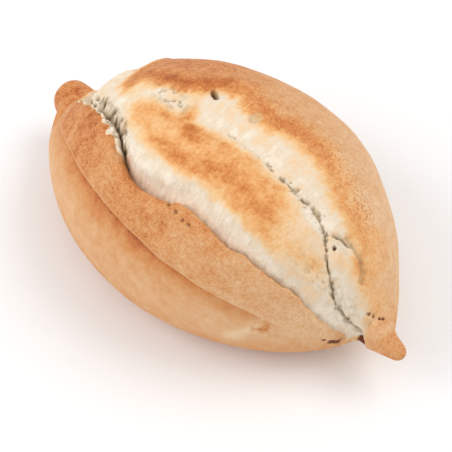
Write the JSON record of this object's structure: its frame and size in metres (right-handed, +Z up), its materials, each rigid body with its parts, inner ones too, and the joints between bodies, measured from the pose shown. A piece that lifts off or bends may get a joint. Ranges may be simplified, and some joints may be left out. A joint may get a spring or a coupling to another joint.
{
  "type": "bread roll",
  "caption": "Spindle-shaped crusty bread roll with a knob at each end and one long slash, opened along the top with a torn raised edge.",
  "frame": {"origin": "centre of the bounding box in X and Y, on the plane the roll rests on", "axes": "+X along the roll towards its pointed knob, -Y towards the side of the raised ear, +Z up"},
  "size_m": [0.151, 0.0884, 0.063],
  "materials": {
    "crust": null
  },
  "bodies": {
    "root": {"bread_roll": "crust"}
  },
  "joints": []
}
